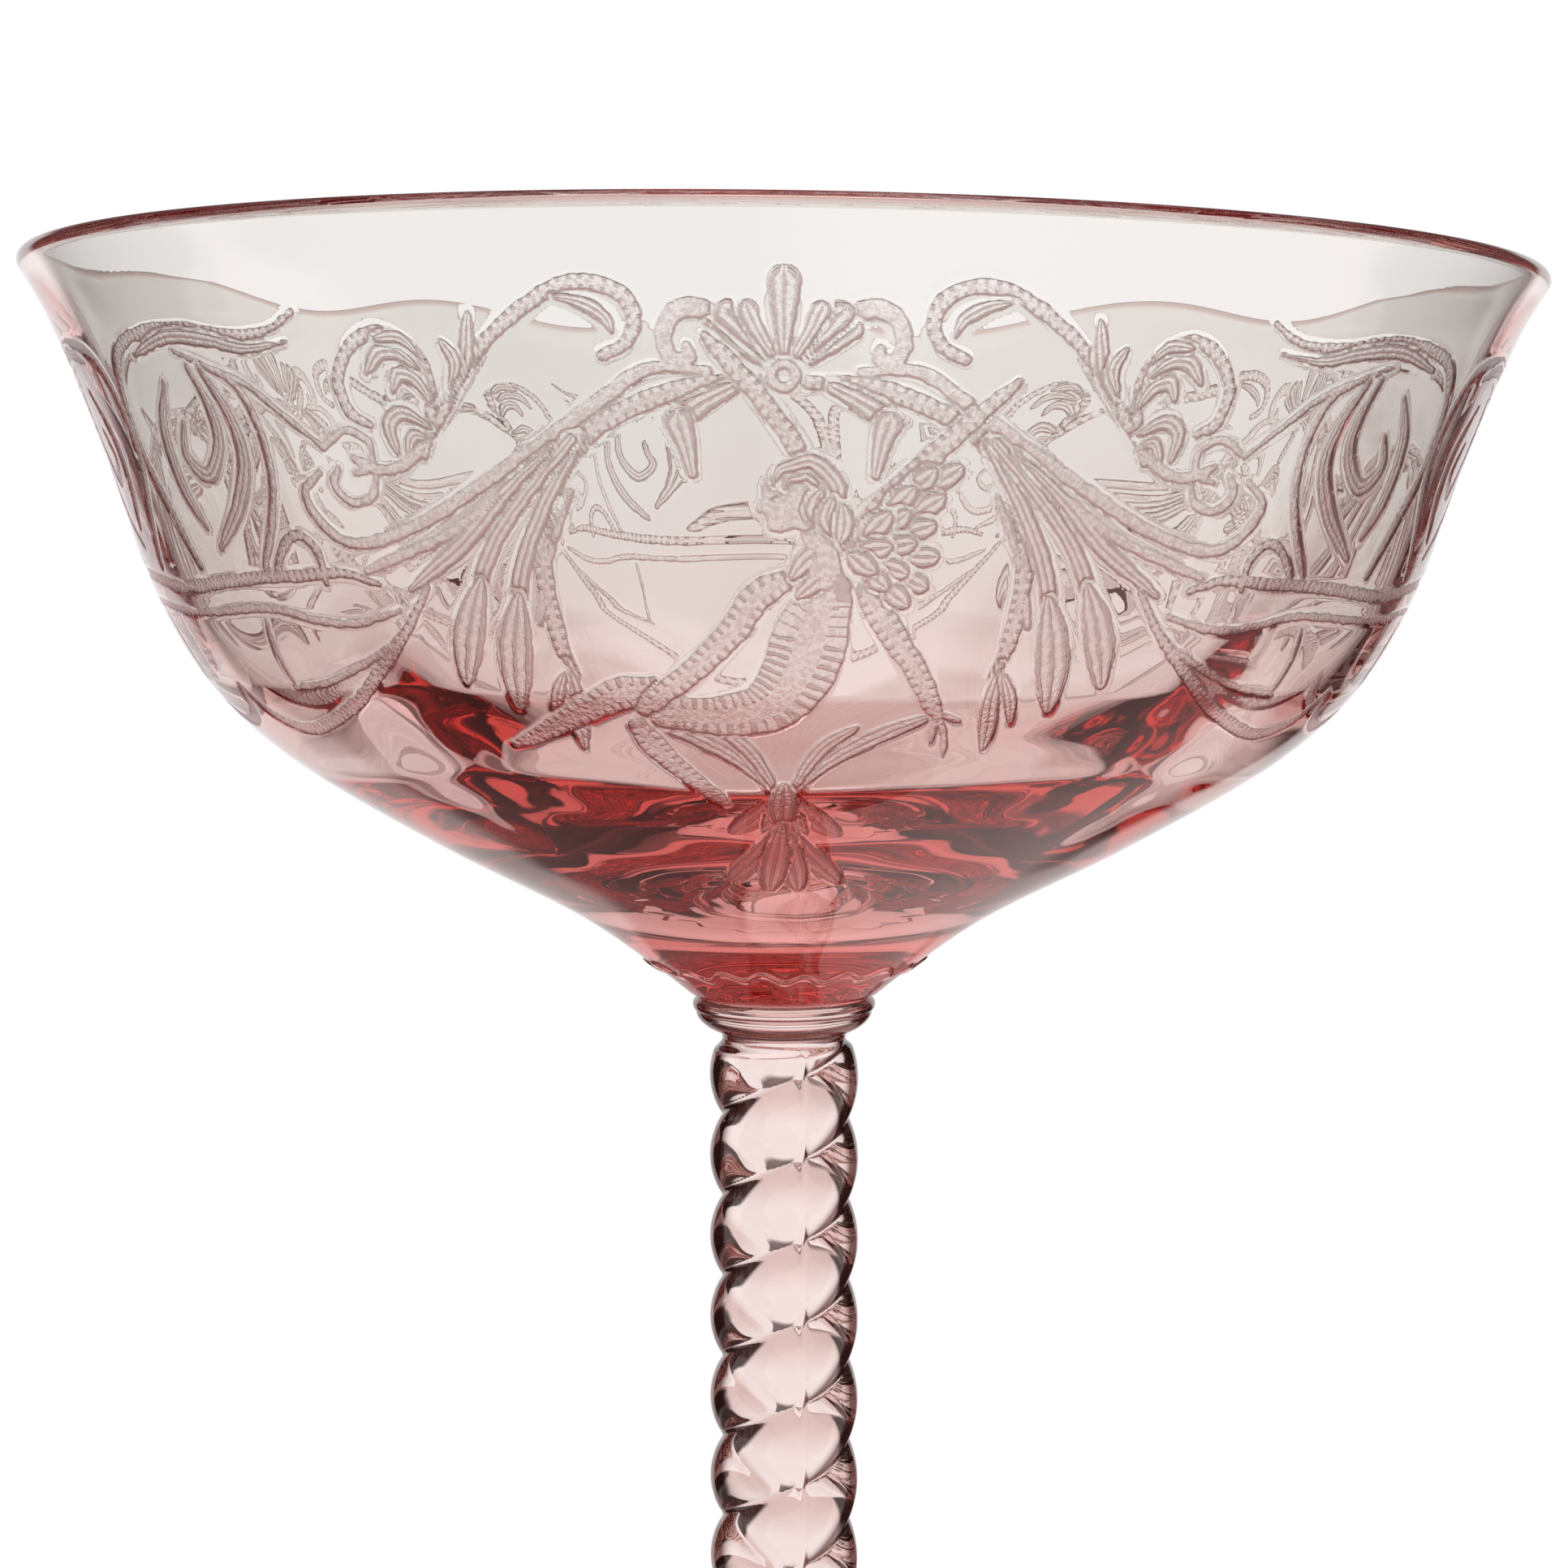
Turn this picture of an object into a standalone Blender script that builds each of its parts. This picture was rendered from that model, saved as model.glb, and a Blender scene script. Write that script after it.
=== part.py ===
"""A stemmed glass coupe: a thin turned bowl with a rounded rim, a collar under it, a stem twisted
like a two-strand rope, a second collar and a wide domed foot.

Metres, +Z up. The origin is the centre of the foot's underside, on the surface that the glass stands on.
The pieces are stacked on the Z axis with a narrow joint between each and the next, where the real
glass is fused.
"""

import math

import bmesh
import bpy

MM = 0.001

# Driving dimensions, in millimetres.
TOTAL_HEIGHT = 155.0
RIM_RADIUS = 51.5
FOOT_RADIUS = 38.0
JOINT_GAP = 0.3

# Heights of the stack, from the table up.
FOOT_HEIGHT = 8.4
COLLAR_HEIGHT = 2.6
BOWL_HEIGHT = 50.0
FOOT_TOP = FOOT_HEIGHT
LOWER_COLLAR_BASE = FOOT_TOP + JOINT_GAP
STEM_BASE = LOWER_COLLAR_BASE + COLLAR_HEIGHT + JOINT_GAP
BOWL_BASE = TOTAL_HEIGHT - BOWL_HEIGHT
UPPER_COLLAR_BASE = BOWL_BASE - JOINT_GAP - COLLAR_HEIGHT
STEM_TOP = UPPER_COLLAR_BASE - JOINT_GAP

# The bowl's outside, as (depth below the rim, radius). A smooth curve runs through these stations:
# a flared upper wall, a rounded shoulder, and a shallow cone down to the collar.
BOWL_STATIONS = (
    (0.0, 51.5),
    (4.0, 49.5),
    (12.0, 46.3),
    (22.0, 42.8),
    (28.0, 39.3),
    (33.0, 34.0),
    (39.0, 24.1),
    (44.0, 14.6),
    (48.0, 8.9),
    (50.0, 6.4),
)
RIM_WALL = 1.4
RIM_ROUNDING_STEPS = 4

# The cavity, in the same way. The wall is 1.4 mm thick at the rim, measured across it, and 2 mm at the
# shoulder. Below that the glass thickens to a solid base 11 mm deep, under a floor that is a shallow
# dish at FLOOR_DEPTH.
CAVITY_STATIONS = (
    (0.7, 50.1),
    (3.4, 48.2),
    (11.5, 44.9),
    (21.3, 41.2),
    (26.7, 37.8),
    (30.6, 33.2),
    (32.4, 30.4),
    (34.6, 25.0),
    (36.6, 18.0),
    (38.0, 11.0),
)
FLOOR_DEPTH = 39.2
FLOOR_STEPS = 5
STEPS_PER_STATION = 2
BOWL_SEGMENTS = 72

# The twisted stem: two lobes with a crease between them, swept up the axis as they turn.
LOBE_RADIUS = 5.25
CREASE_RADIUS = 4.25
LOBE_SPACING = 5.8
CREASE_HEIGHT_AT_FRONT = 99.2
LOBES = 2
STEPS_PER_LOBE = 10

# The collar's radii at the bowl or foot side, and at the stem side.
COLLAR_WIDE = 6.35
COLLAR_NARROW = 4.5
COLLAR_EDGE = 0.6
COLLAR_SEGMENTS = 48
COLLAR_STEPS = 7

# The foot: a flat rest ring round a shallow hollow, a thin rounded edge and a low dome to the collar.
REST_RING_INNER_RADIUS = 29.0
HOLLOW_DEPTH = 1.2
FOOT_EDGE_THICKNESS = 2.2
FOOT_NECK_RADIUS = 6.6
DOME_POWER = 2.6
FOOT_SEGMENTS = 64
FOOT_STEPS = 12

# The glass is a pale rose, and deeper where it is thick.
PALE_ROSE = (0.93, 0.80, 0.78)
ROSE = (0.90, 0.66, 0.64)


def clear_scene():
    for obj in list(bpy.data.objects):
        bpy.data.objects.remove(obj, do_unlink=True)


def glass_material(node, colour):
    material = bpy.data.materials.new(node + "_glass")
    material.use_nodes = True
    shader = material.node_tree.nodes["Principled BSDF"]
    shader.inputs["Base Color"].default_value = (*colour, 1.0)
    shader.inputs["Roughness"].default_value = 0.03
    shader.inputs["Metallic"].default_value = 0.0
    shader.inputs["Transmission Weight"].default_value = 1.0
    shader.inputs["IOR"].default_value = 1.5
    return material


def spread(start, end, steps):
    """Evenly spaced values from start to end, both included."""
    return [start + (end - start) * i / steps for i in range(steps + 1)]


def smooth_curve(stations):
    """Points of a curve through the stations, as a cubic from each to the next. Its slope at each is
    the one between its neighbours. Stations and points are (depth, radius)."""
    last = len(stations) - 1

    def slope(j):
        before, after = stations[max(j - 1, 0)], stations[min(j + 1, last)]
        return (after[1] - before[1]) / (after[0] - before[0])

    points = [stations[0]]
    for i in range(last):
        (d0, r0), (d1, r1) = stations[i], stations[i + 1]
        h = d1 - d0
        for t in spread(0.0, 1.0, STEPS_PER_STATION)[1:]:
            radius = (
                (2 * t**3 - 3 * t**2 + 1) * r0
                + (t**3 - 2 * t**2 + t) * h * slope(i)
                + (3 * t**2 - 2 * t**3) * r1
                + (t**3 - t**2) * h * slope(i + 1)
            )
            points.append((d0 + h * t, radius))
    return points


def turned(name, profile, segments, material, collection):
    """A solid of revolution about Z. The profile is (radius, height) in millimetres, and it runs down
    the outer side. A profile that starts or ends on the axis closes there."""
    mesh = bpy.data.meshes.new(name)
    points = [(r * MM, 0.0, z * MM) for r, z in profile]
    mesh.from_pydata(points, [(i, i + 1) for i in range(len(points) - 1)], [])
    mesh.materials.append(material)
    obj = bpy.data.objects.new(name, mesh)
    collection.objects.link(obj)
    screw = obj.modifiers.new("turn", "SCREW")
    screw.axis = "Z"
    screw.angle = math.tau
    screw.steps = segments
    screw.render_steps = segments
    screw.use_merge_vertices = True
    screw.merge_threshold = 0.00001
    screw.use_smooth_shade = True
    return obj


def bowl_profile():
    """From the middle of the cavity's floor, up the inside, over the rounded rim, down the outside and
    in across the underside."""
    wall_foot_depth, wall_foot_radius = CAVITY_STATIONS[-1]
    floor = [
        (wall_foot_radius * s, FLOOR_DEPTH - (FLOOR_DEPTH - wall_foot_depth) * s**2)
        for s in spread(0.0, 1.0, FLOOR_STEPS)[:-1]
    ]
    inside = [(radius, depth) for depth, radius in reversed(smooth_curve(CAVITY_STATIONS))]
    half_wall = RIM_WALL / 2
    rim = [
        (RIM_RADIUS - half_wall - half_wall * math.cos(a), half_wall - half_wall * math.sin(a))
        for a in spread(0.0, math.pi, RIM_ROUNDING_STEPS)[1:]
    ]
    outside = [
        (radius, depth)
        for depth, radius in smooth_curve(BOWL_STATIONS)
        if depth > RIM_WALL
    ]
    side = floor + inside + rim + outside + [(0.0, BOWL_HEIGHT)]
    return [(radius, TOTAL_HEIGHT - depth) for radius, depth in side]


def collar_profile(base, wide_side_up):
    """A disc with a short upright edge that tapers in a quarter round to the stem."""
    taper = COLLAR_HEIGHT - COLLAR_EDGE
    curve = [
        (
            COLLAR_NARROW + (COLLAR_WIDE - COLLAR_NARROW) * math.cos(a),
            taper * (1 - math.sin(a)),
        )
        for a in spread(0.0, math.pi / 2, COLLAR_STEPS)
    ]
    side = [(0.0, COLLAR_HEIGHT), (COLLAR_WIDE, COLLAR_HEIGHT)] + curve + [(0.0, 0.0)]
    if wide_side_up:
        return [(r, base + h) for r, h in side]
    return [(r, base + COLLAR_HEIGHT - h) for r, h in reversed(side)]


def foot_profile():
    """Down the dome, round the edge, and back under the flat rest ring and the hollow."""
    edge = FOOT_EDGE_THICKNESS / 2
    dome_radius = FOOT_RADIUS - edge
    shares = spread(0.0, 1.0, FOOT_STEPS)
    dome = [
        (
            FOOT_NECK_RADIUS + (dome_radius - FOOT_NECK_RADIUS) * s,
            FOOT_EDGE_THICKNESS
            + (FOOT_HEIGHT - FOOT_EDGE_THICKNESS) * (1 - s) ** DOME_POWER,
        )
        for s in shares
    ]
    nose = [
        (dome_radius + edge * math.sin(a), edge + edge * math.cos(a))
        for a in spread(0.0, math.pi, RIM_ROUNDING_STEPS)[1:]
    ]
    hollow = [
        (REST_RING_INNER_RADIUS * (1 - s), HOLLOW_DEPTH * math.sin(s * math.pi / 2))
        for s in spread(0.0, 1.0, COLLAR_STEPS)
    ]
    return [(0.0, FOOT_HEIGHT)] + dome + nose + hollow


def stem_section(collection):
    """The stem's cross-section: lobes whose outline swells from crease to crease in a round arc."""
    count = LOBES * STEPS_PER_LOBE
    points = []
    for i in range(count):
        across = (i % STEPS_PER_LOBE) / STEPS_PER_LOBE
        swell = math.sqrt(math.sin(math.pi * across))
        radius = CREASE_RADIUS + (LOBE_RADIUS - CREASE_RADIUS) * swell
        angle = math.tau * i / count
        points.append((radius * math.cos(angle), radius * math.sin(angle)))
    curve = bpy.data.curves.new("stem_section", "CURVE")
    curve.dimensions = "2D"
    spline = curve.splines.new("POLY")
    spline.points.add(count - 1)
    for point, (x, y) in zip(spline.points, points):
        point.co = (x * MM, y * MM, 0.0, 1.0)
    spline.use_cyclic_u = True
    section = bpy.data.objects.new("stem_section", curve)
    section.hide_render = True
    section.display_type = "WIRE"
    collection.objects.link(section)
    return section


def make_stem(material, collection, guides):
    """The section carried up the axis. Each ring is tilted on, one full turn in LOBES lobe spacings."""
    length = STEM_TOP - STEM_BASE
    rings = math.ceil(length / LOBE_SPACING * STEPS_PER_LOBE)
    curve = bpy.data.curves.new("twisted_stem", "CURVE")
    curve.dimensions = "3D"
    curve.bevel_mode = "OBJECT"
    curve.bevel_object = stem_section(guides)
    curve.use_fill_caps = True
    curve.twist_mode = "Z_UP"
    spline = curve.splines.new("POLY")
    spline.points.add(rings)
    turn_per_mm = math.tau / (LOBES * LOBE_SPACING)
    for point, height in zip(spline.points, spread(STEM_BASE, STEM_TOP, rings)):
        point.co = (0.0, 0.0, height * MM, 1.0)
        point.tilt = (height - CREASE_HEIGHT_AT_FRONT) * turn_per_mm
    curve.materials.append(material)
    stem = bpy.data.objects.new("twisted_stem", curve)
    collection.objects.link(stem)
    return stem


def as_mesh(obj, collection):
    """The curve object made a closed mesh of the same name, with its caps welded on."""
    bpy.context.view_layer.update()
    graph = bpy.context.evaluated_depsgraph_get()
    mesh = bpy.data.meshes.new_from_object(obj.evaluated_get(graph))
    name = obj.name
    matrix = obj.matrix_world.copy()
    materials = list(obj.data.materials)
    bpy.data.objects.remove(obj, do_unlink=True)
    bm = bmesh.new()
    bm.from_mesh(mesh)
    bmesh.ops.remove_doubles(bm, verts=bm.verts, dist=0.00001)
    bmesh.ops.recalc_face_normals(bm, faces=bm.faces)
    # A ring turns by one point of the section, so each face's short diagonal stands upright.
    sides = [face for face in bm.faces if len(face.verts) == 4]
    bmesh.ops.triangulate(bm, faces=sides, quad_method="SHORT_EDGE")
    bm.to_mesh(mesh)
    bm.free()
    mesh.name = name
    mesh.materials.clear()
    for material in materials:
        mesh.materials.append(material)
    made = bpy.data.objects.new(name, mesh)
    made.matrix_world = matrix
    collection.objects.link(made)
    mesh.shade_smooth()
    mesh.set_sharp_from_angle(angle=math.radians(40))
    return made


def main():
    clear_scene()
    scene_root = bpy.context.scene.collection
    glass = bpy.data.collections.new("champagne_coupe")
    guides = bpy.data.collections.new("guides")
    scene_root.children.link(glass)
    scene_root.children.link(guides)
    colours = {
        "bowl": PALE_ROSE,
        "upper_collar": ROSE,
        "twisted_stem": ROSE,
        "lower_collar": ROSE,
        "foot": PALE_ROSE,
    }
    glasses = {node: glass_material(node, colour) for node, colour in colours.items()}

    turned("bowl", bowl_profile(), BOWL_SEGMENTS, glasses["bowl"], glass)
    upper = collar_profile(UPPER_COLLAR_BASE, wide_side_up=True)
    turned("upper_collar", upper, COLLAR_SEGMENTS, glasses["upper_collar"], glass)
    as_mesh(make_stem(glasses["twisted_stem"], glass, guides), glass)
    lower = collar_profile(LOWER_COLLAR_BASE, wide_side_up=False)
    turned("lower_collar", lower, COLLAR_SEGMENTS, glasses["lower_collar"], glass)
    turned("foot", foot_profile(), FOOT_SEGMENTS, glasses["foot"], glass)


main()
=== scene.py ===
"""The looks of a rose glass coupe with an etched bowl and a twisted stem, built round the CAD frame.

Lengths are in millimetres. Each piece is one closed mesh, and the pieces meet at hidden, see-through faces.
"""

import math

import bpy
import numpy as np
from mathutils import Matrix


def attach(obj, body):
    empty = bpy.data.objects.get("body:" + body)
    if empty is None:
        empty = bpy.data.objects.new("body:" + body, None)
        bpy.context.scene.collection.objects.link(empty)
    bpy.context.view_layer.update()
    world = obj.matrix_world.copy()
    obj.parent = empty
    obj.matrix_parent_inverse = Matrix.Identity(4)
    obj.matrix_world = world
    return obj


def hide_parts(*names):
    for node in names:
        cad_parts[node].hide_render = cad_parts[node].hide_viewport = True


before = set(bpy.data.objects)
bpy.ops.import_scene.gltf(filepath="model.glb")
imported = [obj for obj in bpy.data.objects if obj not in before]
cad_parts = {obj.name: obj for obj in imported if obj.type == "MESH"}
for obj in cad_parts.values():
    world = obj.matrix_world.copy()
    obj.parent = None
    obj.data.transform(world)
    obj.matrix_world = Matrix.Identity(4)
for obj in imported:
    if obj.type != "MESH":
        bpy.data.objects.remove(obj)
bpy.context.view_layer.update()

MM = 0.001
TAU = math.tau

# The stack, as the CAD has it.
TOTAL_HEIGHT = 155.0
BOWL_HEIGHT = 50.0
BOWL_BASE = TOTAL_HEIGHT - BOWL_HEIGHT
COLLAR_HEIGHT = 2.6
JOINT_GAP = 0.3
FOOT_HEIGHT = 8.4

# The fused joints lie in the middle of the CAD's gaps. SLIT keeps a joint's two faces apart.
SLIT = 0.02
BOWL_JOINT = BOWL_BASE - JOINT_GAP / 2
STEM_TOP = BOWL_BASE - 2 * JOINT_GAP - COLLAR_HEIGHT + JOINT_GAP / 2
FOOT_JOINT = FOOT_HEIGHT + JOINT_GAP / 2
STEM_FOOT = FOOT_HEIGHT + 2 * JOINT_GAP + COLLAR_HEIGHT - JOINT_GAP / 2
BOWL_JOINT_RADIUS = 6.0
STEM_JOINT_RADIUS = 4.35
FOOT_JOINT_RADIUS = 6.0

# The bowl's outside, as (depth below the rim, radius). It ends just above the base, and a small notch leads
# in to the joint: (radius, height above the base).
BOWL_STATIONS = (
    (0.0, 51.95), (4.0, 49.6), (12.0, 46.3), (22.0, 42.8), (28.0, 39.3),
    (33.0, 34.0), (39.0, 24.1), (44.0, 14.6), (48.0, 8.9), (50.0, 6.4),
)
LENGTH_STEPS = 4000
OUTSIDE_END = 0.25
NOTCH_STATIONS = ((6.25, 0.12), (6.08, 0.0))

# The wall thickens from RIM_WALL to SHOULDER_WALL between the next two depths. Below it the cavity's base
# goes through these stations, (radius, depth), and ends in a dish. The base's curve starts some rows up the
# wall and ends some rows into the dish, so that it meets both smoothly.
RIM_WALL = 1.4
SHOULDER_WALL = 2.1
WALL_STEADY = 10.0
WALL_FOOT = 28.0
BASE_STATIONS = ((33.2, 30.6), (30.4, 32.4), (25.0, 34.6), (18.0, 36.6), (11.0, 38.0))
FLOOR_DEPTH = 39.2
WALL_ROWS = 90
DISH_ROWS = 20
BASE_SPACING = 0.35
WALL_LEAD = 12
DISH_LEAD = 8
WALL_CLEARANCE = 0.05

# The bowl's rim drops to the right by this share of the distance across.
RIM_LEAN = 0.0145

# A slow wave round the bowl is (size, waves per turn, phase in radians).

# Optic ribs inside the wall. They grow from RIB_START to RIB_FULL below the rim and fade out lower down.
RIBS = 14
RIB_HEIGHT = 0.5
RIB_START = 1.0
RIB_FULL = 13.0
RIB_FADE = (20.0, 29.0)
RIB_DRIFT = ((0.5, 3, 1.0), (0.35, 5, 2.0))
RIB_STRENGTH = ((0.25, 4, 0.7),)

# Streaks in the base, as (height, radians per millimetre of depth, the slow waves that bend them).
STREAKS = ((0.03, 1.5, ((2.2, 3, 0.4), (1.2, 5, 0.0))), (0.012, 3.1, ((-2.0, 4, 1.3),)))
STREAK_DEPTHS = (28.0, 33.0)
STREAK_RADIUS = 10.0

# At the shoulder's corners the glass is thicker: a broad horn with a narrow fold on it.
CORNERS = 4
CORNER_DRIFT = ((0.3, 2, 0.0),)
CORNER_TURN = 0.25
CORNER_RADII = (17.0, 30.0)
HORN_HEIGHT = 0.8
HORN_POWER = 1.3
HORN_DEPTHS = (22.0, 30.5)
FOLD_HEIGHT = 0.35
FOLD_POWER = 24
FOLD_DEPTHS = (15.0, 26.0)

# The scalloped ridge round the bowl's foot.
SCALLOPS = 20
SCALLOP_DEPTH = 47.7
SCALLOP_HEIGHT = 0.28
SCALLOP_HALF_WIDTH = 0.22
SCALLOP_WAVE = 0.28
SCALLOP_DRIFT = ((0.6, 3, 0.0),)
SCALLOP_SLOPE = ((0.12, 7, 0.0),)

# The bowl's mesh, which is finest in the etched band.
SECTORS = 3
COLUMNS = 1440
COARSE = 360
ROW_SPACING = 0.2
BAND_TOP = 3.0
BAND_FOOT = 41.0
RIM_ROWS = 16
LIP_ROUNDS = 4
UNDER_RIM_ROWS = 6
LOW_ROWS = 110

# The collar's outside between its two joints, as (radius, drop from its top): a disc edge over a bead.
COLLAR_STATIONS = (
    (6.3, 0.1), (6.45, 0.35), (6.42, 0.75), (6.2, 0.9), (6.22, 1.1),
    (6.05, 1.5), (5.6, 1.95), (5.0, 2.3), (4.5, 2.45),
)
COLLAR_ROUNDS = 3
COLLAR_COLUMNS = 180

# The stem's lobes, which twist to the right as they rise.
LOBES = 2
LOBE_RADIUS = 5.25
CREASE_RADIUS = 4.15
LOBE_SPACING = 5.8
LOBE_POWER = 0.62
CREASE_SOFTNESS = 0.004
CREASE_HEIGHT = 99.2
STEM_COLUMNS = 240
STEM_ROW = 0.15
STEM_END_BLEND = 0.8

# The mould's halves meet at a seam on two sides, out of step, with a web of glass across the creases.
SEAM_AZIMUTH = 15.7
SEAM_HEIGHT = 0.07
SEAM_HALF_WIDTH = 0.12
SEAM_MISMATCH = 0.2
WEB_HEIGHT = 0.35
WEB_HALF_WIDTH = 0.3

# The foot: a dome that rises from a rounded edge to a neck, over a rest ring and a shallow hollow.
FOOT_RADIUS = 38.0
FOOT_EDGE = 1.1
NECK_RADIUS = 6.6
NECK_START = (6.25, FOOT_HEIGHT - 0.02)
DOME_POWER = 2.6
DOME_ROWS = 60
EDGE_ROWS = 16
REST_RADIUS = 29.0
HOLLOW_HEIGHT = 1.2
HOLLOW_ROWS = 40
FOOT_COLUMNS = 240

# The etching. Its depth field runs from -ETCH_REACH outside the shapes to a shape's half-width in its
# middle, and the surface sinks by ETCH_DEPTH over ETCH_SLOPE of it. ETCH_GAP parts overlapping shapes.
ETCH_DEPTH = 0.07
ETCH_SLOPE = 0.35
ETCH_REACH = 0.8
ETCH_GAP = 0.2
FAR_OUTSIDE = -9.0
STROKE_SPACING = 0.6

# The direction that the facing field measures, as shares to the right and down. Slopes that face this way
# get more painted shade and less painted highlight, as if lit from the upper left.
RELIEF_RIGHT = 0.75
RELIEF_DOWN = 0.66

# A stem is plain, a leaf pointed and veined, a tick notched along its edges, and a fan blunt and veined.
# A stroke's half-width swells from its tip to its middle by these shares, and never by MOST_SWELL.
STEM, LEAF, TICK, FAN = 0, 1, 2, 3
LEAF_TIP = 0.45
LEAF_BELLY = 1.1
LEAF_FULLNESS = 0.8
STROKE_TIP = 0.75
STROKE_SWELL = 0.4
STROKE_START = 0.2
STROKE_END = 0.12
MOST_SWELL = 1.6

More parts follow.
